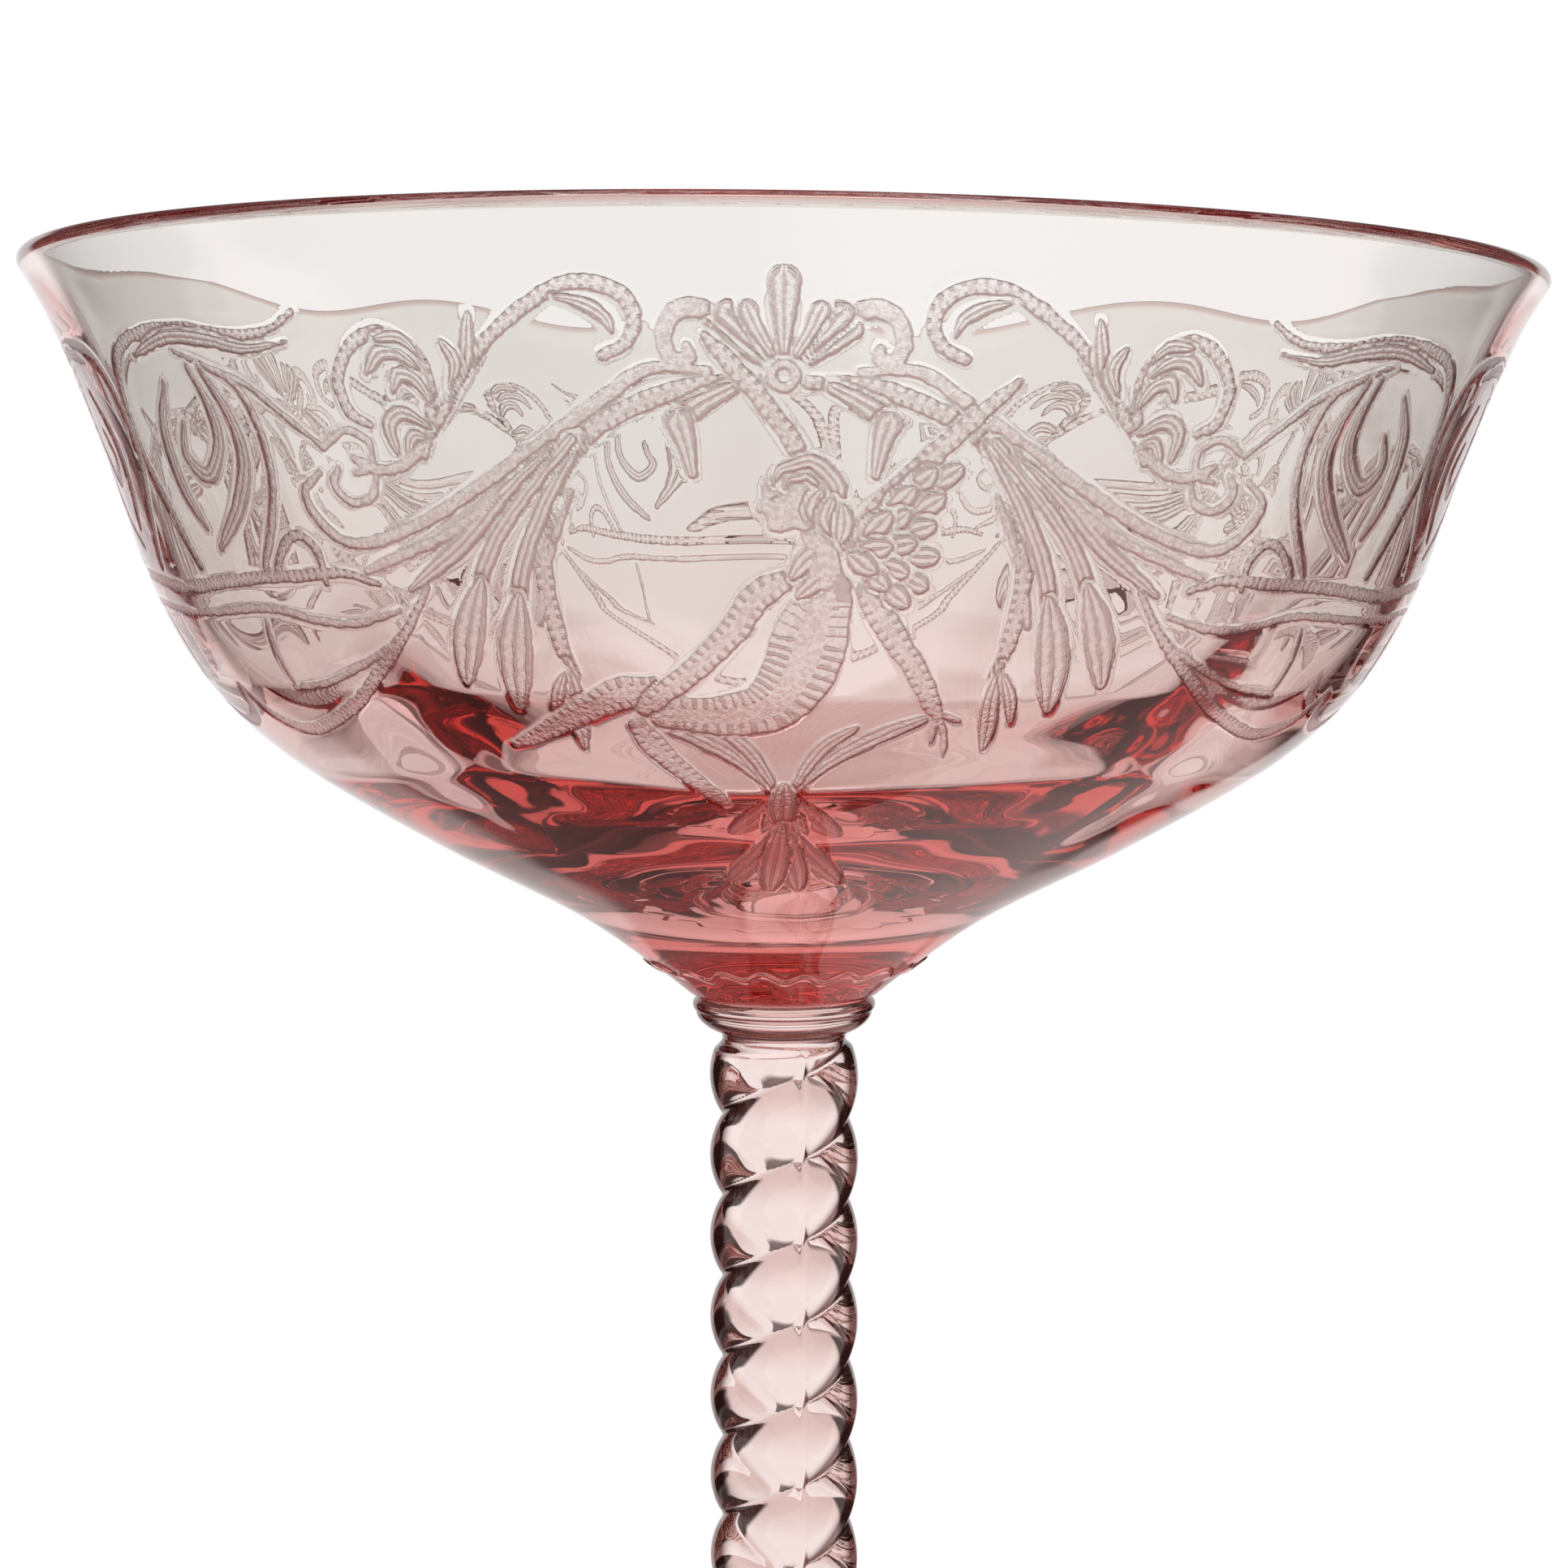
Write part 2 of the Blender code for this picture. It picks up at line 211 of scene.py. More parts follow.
# Half of a sector's pattern, from its back to its front. A stroke is (first half-width, last half-width,
# style, points), with points as (degrees from the sector's middle, depth below the rim).
ORNAMENT = (
    # The crown of leaves over a ring.
    (0.55, 0.35, STEM, ((3.6, 6.6), (5, 6), (6.4, 6), (7.4, 6.7), (7.7, 7.8), (7.1, 8.7), (6.1, 8.5),
        (6.2, 7.9))),
    (0.3, 0.6, FAN, ((1.2, 8.8), (2.9, 7.9), (4.4, 7))),
    (0.3, 0.8, FAN, ((0.9, 8.6), (2.2, 7.4), (3.5, 6.2))),
    (0.3, 0.55, FAN, ((0.7, 8.4), (1.6, 7.2), (2.3, 6))),
    (0.22, 0.95, FAN, ((0, 8.4), (0, 6.6), (0, 4.6))),
    # The swag's two bands, and the sprays of leaves that hang from it.
    (0.5, 0.45, TICK, ((1.2, 9.7), (5.2, 9.9), (9.2, 10.8), (13, 12.3), (15.6, 14.5), (17.2, 17.1),
        (17.8, 19.6), (17.8, 21.9), (17.5, 24.2), (16.8, 25.9))),
    (0.4, 0.3, STEM, ((5, 9.2), (8.8, 9.1), (12, 10.6), (16.5, 12.9), (21.2, 15), (25.5, 16.8), (30, 18.1),
        (34, 18.6), (36.6, 17.6), (37.8, 15.8), (35.8, 14.6))),
    (0.35, 0.6, FAN, ((14, 12.8), (17, 16.2), (19.4, 19.6), (20.6, 22.4))),
    (0.35, 0.55, FAN, ((14.6, 12.8), (18.2, 15.6), (21.4, 18.4), (23.8, 21.4))),
    (0.2, 0.25, STEM, ((15, 15.6), (17.4, 19.4), (18.9, 23))),
    (0.6, 0.8, LEAF, ((20.2, 21.4), (21.4, 24.2), (22.7, 27.8))),
    (0.55, 0.75, LEAF, ((23.2, 20.6), (25, 23.2), (26.9, 26.4))),
    (0.25, 0.45, LEAF, ((16, 13.2), (20, 15.7), (24.2, 18.6), (29.6, 21.2))),
    (0.25, 0.3, STEM, ((16.5, 13.6), (20.8, 16), (25.2, 18), (29.6, 19.2), (33.5, 20.2))),
    (0.4, 0.8, FAN, ((3.2, 10), (5.4, 10.9), (7.2, 11.8))),
    (0.8, 0.3, FAN, ((7, 11.9), (6.6, 13.1), (6.3, 14.6))),
    (0.25, 0.5, LEAF, ((17.4, 25), (17.2, 27.2), (18, 30.2))),
    (0.2, 0.35, LEAF, ((17.6, 25.6), (18.8, 27), (19.6, 28.6))),
    # The plume, its tuft and the spiral of leaves.
    (0.45, 0.3, TICK, ((11.8, 8.4), (10.2, 7.8), (9.5, 6.6), (10, 5.4), (11.8, 4.7), (14, 4.8), (16.5, 5.8),
        (19.5, 7.5), (22, 9.6), (24, 11.5), (26, 13.4))),
    (0.2, 0.35, LEAF, ((14.6, 5.4), (12.8, 5.7), (11.4, 6.4), (11, 7.2))),
    (0.25, 0.4, LEAF, ((23, 10.6), (21.6, 8.9), (20.6, 6.2))),
    (0.2, 0.35, LEAF, ((23, 10.2), (22.2, 8.7), (22.9, 7.6))),
    (0.35, 0.35, TICK, ((26, 13.7), (24.8, 11.5), (24.5, 9.3), (25.5, 7.7), (27.8, 7), (30.2, 7.8),
        (31.8, 9.5), (31.5, 11.3), (30, 12))),
    (0.25, 0.4, LEAF, ((24.6, 10.8), (25.5, 9.6), (26.8, 9.3), (27.4, 10.2))),
    (0.25, 0.4, LEAF, ((25, 9.1), (26.4, 8.2), (28, 8.2), (29.2, 9.2))),
    (0.25, 0.4, LEAF, ((25, 12.2), (27, 11.4), (28.4, 12), (28.2, 13.5))),
    (0.2, 0.3, LEAF, ((25.4, 12.8), (26.6, 12.6), (27.3, 13.6))),
    (0.2, 0.3, LEAF, ((24.8, 8.4), (26, 7.4), (28, 7.4))),
    (0.3, 0.3, STEM, ((25.4, 13), (28.2, 14.3), (30.5, 14.4), (32.2, 13.8))),
    (0.25, 0.2, STEM, ((34.8, 13.2), (32.5, 12.3), (30.5, 12.9), (30.8, 14.3), (32.5, 14.7))),
    (0.25, 0.25, STEM, ((30.4, 14.7), (31.2, 15.9), (33.2, 16.3), (34.6, 15.3), (33.8, 14.3))),
    (0.2, 0.2, STEM, ((34.8, 13.2), (38, 11.3), (41, 9.6), (44.5, 8.6), (48.2, 7.6))),
    # The tall leafy scroll where two halves of the pattern meet.
    (0.25, 0.45, TICK, ((34.2, 5.8), (36.8, 6.7), (41, 6.9), (46.2, 6.3), (52, 6.4), (57, 7.4), (59.2, 10),
        (59.4, 13.5), (57.2, 16.8), (55, 20))),
    (0.2, 0.4, LEAF, ((35.5, 7.4), (39.8, 7.7), (43.8, 7.1), (48.5, 6.8), (54, 7.6))),
    (0.25, 0.25, STEM, ((44.5, 8.6), (41.8, 9.9), (40.8, 12.3), (41, 15), (42.5, 17.6), (45, 20.2))),
    (0.3, 0.45, LEAF, ((45.8, 8.4), (43.9, 11.2), (43.7, 13.8), (46.2, 16.6), (50.5, 19))),
    (0.3, 0.4, LEAF, ((47.2, 8.3), (46, 10.5), (46.2, 12.8), (49, 14.7), (51.4, 13.5), (50.2, 11.6))),
    (0.3, 0.45, LEAF, ((51, 9.2), (53.6, 12), (53.6, 15.2), (51.6, 17.8))),
    (0.3, 0.4, TICK, ((32.5, 20.9), (36, 20.3), (41, 20.5), (47, 20.7), (57, 21.3), (60, 21.4))),
    (0.25, 0.25, STEM, ((31.2, 22.4), (36, 23.2), (40.5, 23.1), (46.2, 22.5), (54.8, 22.8), (60, 23))),
    (0.3, 0.25, TICK, ((38, 20.9), (38, 19.1), (39.8, 18.1), (42, 19), (43.8, 20.7))),
    # The lower swag and its pendant.
    (0.3, 0.5, TICK, ((28, 21), (31, 23.5), (36, 26.2), (41.8, 28.4), (50.8, 30), (57, 29.4), (60, 27.6))),
    (0.2, 0.25, STEM, ((31.8, 24), (37, 25.6), (42.5, 26.8), (48.5, 27.4))),
    (0.15, 0.15, STEM, ((47.5, 23.2), (48.3, 25.4), (48, 27.4))),
    # The spray under the figure and the fan below it.
    (0.25, 0.55, LEAF, ((0.4, 33.3), (4, 31), (8, 29.4), (12.2, 28.2))),
    (0.25, 0.4, LEAF, ((0.6, 33), (3.2, 30.2), (6.2, 28.8))),
    (0.55, 0.55, LEAF, ((0, 32.4), (0.2, 35.3))),
    (0.35, 0.75, LEAF, ((0.2, 35), (3.2, 37.4), (8, 39.4))),
    (0.35, 0.7, LEAF, ((0.1, 35), (1, 37.6), (2.2, 40))),
)

# A winged figure that kneels, seen from the side: a wing, the other wing, a leg, the trunk, the other leg,
# the arms, the scarf and the neck.
FIGURE = (
    (0.42, 0.5, TICK, ((-5, 7.4), (-3.2, 9), (-1.5, 10.6), (0, 12.2), (1.4, 13.9))),
    (0.75, 0.35, TICK, ((4.8, 18.8), (7, 16.2), (9.5, 14.1), (12.2, 12), (15.6, 9.5))),
    (1.15, 0.35, TICK, ((-10.4, 26.6), (-13.5, 27), (-17.2, 28.1), (-21.8, 29.5), (-24.8, 30.2))),
    (2.15, 0.85, TICK, ((3, 21.2), (2.2, 23.2), (1, 25.8), (-1.2, 27.6), (-5.2, 28.2), (-8.5, 28.1),
        (-11.2, 28.3))),
    (0.85, 0.45, TICK, ((-12.4, 28.8), (-11.2, 30.3), (-8.8, 32), (-6, 33.7))),
    (0.8, 0.55, TICK, ((0.9, 20.1), (-1.8, 21.2), (-3.8, 23.2), (-6.8, 25.3), (-10, 27), (-11.6, 27.9))),
    (0.8, 0.45, TICK, ((6, 21), (8.5, 23.6), (10.2, 25.2), (12, 27.2), (13, 28.2))),
    (0.24, 0.14, STEM, ((13, 28.2), (14, 29.4), (14.4, 30.6))),
    (0.24, 0.14, STEM, ((12.8, 28.4), (12.9, 29.8))),
    (0.24, 0.14, STEM, ((13.2, 28), (15, 28.5))),
    (0.35, 0.45, LEAF, ((3.6, 19.2), (2.6, 20.2), (1, 21.3))),
    (0.35, 0.45, LEAF, ((3.3, 18.4), (1.8, 19.1), (0.6, 20.2))),
    (0.62, 0.8, STEM, ((1.6, 17), (2.9, 19), (3, 20.4))),
)

# The wing's small feathers, which point away from its root, from the far end to the near one.
WING_ROOT = (4.4, 18.8)
FEATHERS = (
    (11.4, 14.6), (9.6, 14.9), (10.2, 16.2), (8.2, 15.9), (9.6, 17.5), (10, 19), (7.8, 17.1),
    (9.4, 20.4), (8.2, 18.4), (6.6, 17.3), (7.9, 19.7), (8.3, 21.2), (6.5, 18.6), (6.6, 20.2), (5.6, 19.4),
)
FEATHER_HALF_LENGTH = 0.85
FEATHER_WIDTH = 0.42

# The head: a skull as (degrees, depth, radius), a plain face in profile, an eye that is left clear, waves
# of hair as (share of the skull's radius, half-width), and curls at the nape.
SKULL = (1.4, 15.8, 1.95)
FACE = (
    (1.25, 0.95, STEM, ((0.3, 15.1), (0.1, 16.0), (0.0, 17.0))),
    (0.45, 0.45, STEM, ((-0.75, 17.4), (1.3, 17.0))),
    (0.15, 0.27, STEM, ((-1.1, 15.9), (-1.65, 16.5))),
    (0.24, 0.24, STEM, ((-1.15, 17.0), (-0.8, 17.0))),
)
EYE = (0.14, 0.14, STEM, ((-0.75, 16.0), (-0.35, 16.0)))
HAIR_WAVES = ((0.62, 0.34), (0.96, 0.38))
CURLS = (
    ((2.6, 15.5), (2.1, 16.5), (2.7, 17.4)), ((3.4, 15.9), (3.0, 16.9), (3.5, 17.9)),
    ((4.1, 16.2), (4.3, 17.3), (4.0, 18.3)),
)
CURL_WIDTH = 0.36

# The hair's waves turn about the skull between these angles, and ripple by a share of its radius.
FEATHER_TAPER = 1.1
HAIR_TAPER = 0.7
HAIR_TURN = (160, -50)
HAIR_STEPS = 8
HAIR_RIPPLE = 0.05
HAIR_RIPPLES = 6

# The ring behind the crown of leaves and the dot that is left clear in it: (degrees, depth, radius).
RING = (0.0, 9.4, 0.95)
CLEAR_DOT = (0.0, 9.4, 0.35)


def spread(start, end, steps):
    """Evenly spaced values from start to end, both included."""
    return np.linspace(start, end, steps + 1)


def round_turn(columns):
    """Azimuths in radians all round, from the front towards the right."""
    return TAU * np.arange(columns) / columns


def smoothstep(low, high, x):
    t = np.clip((x - low) / (high - low), 0.0, 1.0)
    return t * t * (3 - 2 * t)


def waves(terms, azimuth):
    """The sum of slow waves round the bowl."""
    return sum(size * np.sin(count * azimuth + phase) for size, count, phase in terms)


def smooth_curve(stations, x):
    """The curve through the stations at x. Its slope at each is the one between its two neighbours."""
    xs = np.array([s[0] for s in stations])
    ys = np.array([s[1] for s in stations])
    before = np.maximum(np.arange(len(xs)) - 1, 0)
    after = np.minimum(np.arange(len(xs)) + 1, len(xs) - 1)
    slopes = (ys[after] - ys[before]) / (xs[after] - xs[before])
    x = np.clip(x, xs[0], xs[-1])
    i = np.clip(np.searchsorted(xs, x, side="right") - 1, 0, len(xs) - 2)
    h = xs[i + 1] - xs[i]
    t = (x - xs[i]) / h
    rise, start, end = ys[i + 1] - ys[i], h * slopes[i], h * slopes[i + 1]
    return ys[i] + t * (start + t * (3 * rise - 2 * start - end + t * (start + end - 2 * rise)))


def path_through(points, spacing):
    """A smooth path through the points (a Catmull-Rom spline), sampled about every spacing."""
    points = np.array(points, float)
    padded = np.vstack([2 * points[0] - points[1], points, 2 * points[-1] - points[-2]])
    pieces = []
    for i in range(len(points) - 1):
        p0, p1, p2, p3 = padded[i : i + 4]
        steps = max(2, math.ceil(np.linalg.norm(p2 - p1) / spacing))
        t = np.arange(steps)[:, None] / steps
        square, cube = 2 * p0 - 5 * p1 + 4 * p2 - p3, 3 * p1 - p0 - 3 * p2 + p3
        pieces.append(p1 + 0.5 * t * (p2 - p0 + t * (square + t * cube)))
    pieces.append(points[-1:])
    return np.vstack(pieces)


def rounded(points, rounds):
    """Cuts the corners of a profile again and again, so that it turns smoothly. The ends stay."""
    points = np.array(points, float)
    for _ in range(rounds):
        cut = np.empty((2 * len(points) - 2, 2))
        cut[0::2] = 0.75 * points[:-1] + 0.25 * points[1:]
        cut[1::2] = 0.25 * points[:-1] + 0.75 * points[1:]
        points = np.vstack([points[:1], cut, points[-1:]])
    return points


def rings(radii, heights, columns):
    """Round rings, as rows by columns by 3, facing the front at the first column."""
    azimuth = round_turn(columns)
    radii = np.broadcast_to(np.asarray(radii, float).reshape(len(heights), -1), (len(heights), columns))
    z = np.broadcast_to(np.asarray(heights, float).reshape(-1, 1), radii.shape)
    return np.stack([radii * np.sin(azimuth), -radii * np.cos(azimuth), z], axis=-1)


class Shell:
    """Collects the points and faces of one piece, and the values that its material reads at each point."""

    def __init__(self):
        self.points = []
        self.faces = []
        self.values = {name: [] for name in ("etch", "along", "across", "style", "facing", "joint")}
        self.count = 0

    def add(self, points, **values):
        """Adds points, with one value for all or one for each, and returns the first one's number."""
        points = np.asarray(points, float).reshape(-1, 3)
        first = self.count
        self.points.append(points)
        for name, kept in self.values.items():
            kept.append(np.broadcast_to(np.ravel(values.get(name, 0.0)), len(points)))
        self.count += len(points)
        return first

    def grid(self, points, flip=False, **values):
        """Rings of points, as rows by columns by 3, joined into a band. Returns its first and last ring."""
        rows, columns = points.shape[:2]
        first = self.add(points, **values)
        index = first + np.arange(rows * columns).reshape(rows, columns)
        right = np.roll(index, -1, axis=1)
        quads = np.stack([index[:-1], index[1:], right[1:], right[:-1]], axis=-1).reshape(-1, 4)
        self.faces.append(quads[:, ::-1] if flip else quads)
        return index[0], index[-1]

    def bridge(self, upper, lower):
        """Joins two rings. One may have a whole number of times as many points as the other."""
        if len(upper) == len(lower):
            self.faces.append(np.stack([upper, lower, np.roll(lower, -1), np.roll(upper, -1)], axis=-1))
            return
        fine_below = len(lower) > len(upper)
        coarse, fine = (upper, lower) if fine_below else (lower, upper)
        times = len(fine) // len(coarse)
        middle = times // 2
        triangles = []
        for j in range(times):
            owner = coarse if j < middle else np.roll(coarse, -1)
            next_fine = np.roll(fine, -1)[j::times]
            triangles.append(np.stack([owner, fine[j::times], next_fine], axis=-1))
        triangles.append(np.stack([coarse, fine[middle::times], np.roll(coarse, -1)], axis=-1))
        triangles = np.vstack(triangles)
        self.faces.append(triangles if fine_below else triangles[:, ::-1])

    def fan(self, ring, height, flip=False, **values):
        """Closes a ring to a point on the axis."""
        middle = self.add([(0.0, 0.0, height)], **values)
        faces = np.stack([ring, np.full(len(ring), middle), np.roll(ring, -1)], axis=-1)
        self.faces.append(faces[:, ::-1] if flip else faces)

    def joint(self, radius, height, columns, up):
        """The hidden, see-through face of a fused joint."""
        first = self.add(rings([radius], [height], columns), joint=1.0)
        self.fan(first + np.arange(columns), height, flip=up, joint=1.0)

    def build(self, name, material):
        """Makes the object, smooth shaded, with its values as attributes of its points."""
        points = np.vstack(self.points) * MM
        mesh = bpy.data.meshes.new(name)
        sizes = np.concatenate([np.full(len(f), f.shape[1]) for f in self.faces])
        corners = np.concatenate([f.ravel() for f in self.faces])
        starts = np.concatenate([[0], np.cumsum(sizes)[:-1]])
        mesh.vertices.add(len(points))
        mesh.vertices.foreach_set("co", points.ravel().astype(np.float32))
        mesh.loops.add(len(corners))
        mesh.loops.foreach_set("vertex_index", corners.astype(np.int32))
        mesh.polygons.add(len(sizes))
        mesh.polygons.foreach_set("loop_start", starts.astype(np.int32))
        mesh.update(calc_edges=True)
        mesh.validate()
        for key, kept in self.values.items():
            data = np.concatenate(kept)
            if np.any(data):
                attribute = mesh.attributes.new(key, "FLOAT", "POINT")
                attribute.data.foreach_set("value", data.astype(np.float32))
        mesh.shade_smooth()
        mesh.materials.append(material)
        obj = bpy.data.objects.new(name, mesh)
        bpy.context.scene.collection.objects.link(obj)
        return obj


# ---- the etched pattern


def outside_radius(depth):
    """The radius of the bowl's outside at this depth below the rim."""
    return smooth_curve(BOWL_STATIONS, depth)


def outside_lengths():
    """Depths from the rim to the base, and the length along the bowl's outside down to each."""
    depths = spread(0.0, BOWL_HEIGHT, LENGTH_STEPS)
    steps = np.hypot(np.diff(depths), np.diff(outside_radius(depths)))
    return depths, np.concatenate([[0], np.cumsum(steps)])


def length_at(depths):
    """The length along the bowl's outside from the rim down to these depths."""
    return np.interp(depths, *outside_lengths())


def degrees_per_mm(depth):
    """How many degrees round the bowl's outside a millimetre takes at this depth."""
    return 1 / (math.radians(1) * outside_radius(depth))


def swollen(width, style, share):
    """The half-width of a stroke of this style at a share of its length."""
    if style == LEAF:
        return width * (LEAF_TIP + LEAF_BELLY * np.sin(np.pi * share) ** LEAF_FULLNESS)
    if style == FAN:
        return width
    ends = smoothstep(0.0, STROKE_START, share) * smoothstep(0.0, STROKE_END, 1 - share)
    return width * (STROKE_TIP + STROKE_SWELL * ends)


class Etching:
    """The pattern over one sector, at each point of its mesh: the depth inside the shapes ("etch"), the
    distance along a stroke, the share across it and its style."""

    def __init__(self, depths):
        self.columns = COLUMNS // SECTORS
        self.azimuths = np.arange(self.columns) * 360 / COLUMNS - 180 / SECTORS
        self.radii = outside_radius(depths)
        self.lengths = length_at(depths)
        shape = (len(depths), self.columns)
        self.fields = {name: np.zeros(shape) for name in ("etch", "along", "across", "style")}
        self.fields["etch"] -= ETCH_REACH

    def stroke(self, start_width, end_width, style, points, over=False, clear=False):
        """Adds a stroke. With over, it parts itself from what it covers. With clear, it isn't etched."""
        path = path_through(points, STROKE_SPACING)
        lengths = length_at(path[:, 1])
        radii = outside_radius(path[:, 1])
        margin = max(start_width, end_width) * MOST_SWELL + ETCH_REACH
        side = margin / (math.radians(1) * radii.min())
        near_path = (self.azimuths > path[:, 0].min() - side) & (self.azimuths < path[:, 0].max() + side)
        columns = np.flatnonzero(near_path)
        in_reach = (self.lengths > lengths.min() - margin) & (self.lengths < lengths.max() + margin)
        rows = np.flatnonzero(in_reach)
        shape = (len(rows), len(columns))
        best = np.full(shape, FAR_OUTSIDE)
        along, across = np.zeros(shape), np.zeros(shape)
        travelled = 0.0
        total = len(path) - 1
        for i in range(total):
            radius = (radii[i] + radii[i + 1]) / 2
            x = np.radians(self.azimuths[columns][None, :] - path[i, 0]) * radius
            y = self.lengths[rows][:, None] - lengths[i]
            dx = np.radians(path[i + 1, 0] - path[i, 0]) * radius
            dy = lengths[i + 1] - lengths[i]
            length = math.hypot(dx, dy)
            t = np.clip((x * dx + y * dy) / length**2, 0.0, 1.0)
            share = (i + t) / total
            width = swollen(start_width + (end_width - start_width) * share, style, share)
            away = np.hypot(x - t * dx, y - t * dy)
            inside = width - away
            nearer = inside > best
            best = np.where(nearer, inside, best)
            along = np.where(nearer, travelled + t * length, along)
            across = np.where(nearer, np.sign(dx * y - dy * x) * away / width, across)
            travelled += length
        self.merge(np.ix_(rows, columns), best, along, across, style, over, clear)

    def disc(self, azimuth, depth, radius, over=False, clear=False):
        """Adds a round shape."""
        x = np.radians(self.azimuths[None, :] - azimuth) * outside_radius(depth)
        y = self.lengths[:, None] - length_at(depth)
        inside = np.maximum(radius - np.hypot(x, y), -ETCH_REACH - ETCH_GAP)
        along = np.arctan2(y, x) * radius
        self.merge(np.s_[:, :], inside, along, np.zeros_like(inside), STEM, over, clear)

    def merge(self, window, inside, along, across, style, over, clear):
        """Puts a shape into the pattern. Each point keeps the values of the shape it is deepest in."""
        kept = self.fields["etch"][window]
        if clear:
            self.fields["etch"][window] = np.minimum(kept, -inside)
            return
        if over:
            kept = np.minimum(kept, -inside - ETCH_GAP)
            self.fields["etch"][window] = kept
        deeper = inside > kept
        for name, values in (("etch", inside), ("along", along), ("across", across), ("style", style)):
            field = self.fields[name]
            field[window] = np.where(deeper, values, field[window])

    def draw(self):
        """Draws the whole pattern, from its back to its front."""
        for *widths, style, points in ORNAMENT:
            leaf = style in (LEAF, FAN)
            mirrored = [(-azimuth, depth) for azimuth, depth in points]
            self.stroke(*widths, style, points, over=leaf)
            self.stroke(*widths, style, mirrored, over=leaf)
        self.disc(*RING, over=True)
        for *widths, style, points in FIGURE:
            self.stroke(*widths, style, points, over=style != STEM)
        for azimuth, depth in FEATHERS:
            self.draw_feather(azimuth, depth)
        self.draw_head()
        self.disc(*CLEAR_DOT, clear=True)

    def draw_feather(self, azimuth, depth):
        """A short leaf that points away from the wing's root."""
        degree = degrees_per_mm(depth)
        across, down = (azimuth - WING_ROOT[0]) / degree, depth - WING_ROOT[1]
        reach = FEATHER_HALF_LENGTH / math.hypot(across, down)
        across, down = across * reach * degree, down * reach
        ends = ((azimuth - across, depth - down), (azimuth + across, depth + down))
        self.stroke(FEATHER_WIDTH, FEATHER_WIDTH * FEATHER_TAPER, LEAF, ends, over=True)

    def draw_head(self):
        """A plain face in profile, waves of hair over the skull, and curls at the nape."""
        self.disc(*SKULL, over=True)
        for feature in FACE:
            self.stroke(*feature)
        self.stroke(*EYE, clear=True)
        azimuth, depth, radius = SKULL
        degree = degrees_per_mm(depth)
        for share, width in HAIR_WAVES:
            wave = []
            for turn in np.radians(spread(*HAIR_TURN, HAIR_STEPS)):
                reach = radius * (share + HAIR_RIPPLE * math.sin(HAIR_RIPPLES * turn))
                wave.append((azimuth + reach * math.cos(turn) * degree, depth - reach * math.sin(turn)))
            self.stroke(width * HAIR_TAPER, width, LEAF, wave, over=True)
        for curl in CURLS:
            self.stroke(CURL_WIDTH, CURL_WIDTH, LEAF, curl, over=True)

    def facing(self):
        """How far each slope of the pattern faces down to the right, from -1 to 1. The material paints
        shade and highlight by it.
        """
        etch = self.fields["etch"]
        down = np.gradient(etch, axis=0) / np.gradient(self.lengths)[:, None]
        right = np.gradient(etch, axis=1) / (math.radians(360 / COLUMNS) * self.radii[:, None])
        return np.clip(-(RELIEF_RIGHT * right + RELIEF_DOWN * down), -1.0, 1.0)

    def whole_round(self):
        """All the fields, repeated round the bowl from the front."""
        repeated = {}
        for name, field in {**self.fields, "facing": self.facing()}.items():
            from_front = np.roll(field, self.columns // 2, axis=1)
            repeated[name] = np.tile(from_front, (1, SECTORS))
        return repeated


# ---- the pieces


def lean(points):
    """Tips the bowl's rim a little to the right, and leaves its base level."""
    share = np.clip((points[..., 2] - BOWL_BASE) / BOWL_HEIGHT, 0.0, 1.0)
    points[..., 2] -= RIM_LEAN * share * points[..., 0]
    return points


def wall_normal(depths):
    """The bowl's outward normal at these depths, as (outward, upward)."""
    step = 0.01
    slope = (outside_radius(depths + step) - outside_radius(depths - step)) / (2 * step)
    length = np.hypot(1.0, slope)
    return 1 / length, slope / length


def thickening(azimuth, depth, radius):
    """How far the cavity's surface stands in from its plain shape: ribs, streaks, horns and folds."""
    rib = 0.5 + 0.5 * np.cos(RIBS * azimuth + waves(RIB_DRIFT, azimuth))
    strength = RIB_HEIGHT * (1 + waves(RIB_STRENGTH, azimuth))
    grow = np.clip((depth - RIB_START) / (RIB_FULL - RIB_START), 0.0, 1.0)
    ribs = strength * rib * grow * (1 - smoothstep(*RIB_FADE, depth))
    streaks = sum(height * np.sin(rate * depth + waves(bends, azimuth)) for height, rate, bends in STREAKS)
    streaks = streaks * smoothstep(*STREAK_DEPTHS, depth) * np.clip(radius / STREAK_RADIUS, 0.0, 1.0)
    corner = 0.5 - 0.5 * np.cos(CORNERS * azimuth - CORNER_TURN + waves(CORNER_DRIFT, azimuth))
    horn = HORN_HEIGHT * corner**HORN_POWER * smoothstep(*HORN_DEPTHS, depth)
    fold = FOLD_HEIGHT * corner**FOLD_POWER * smoothstep(*FOLD_DEPTHS, depth)
    return ribs + streaks + (horn + fold) * smoothstep(*CORNER_RADII, radius)


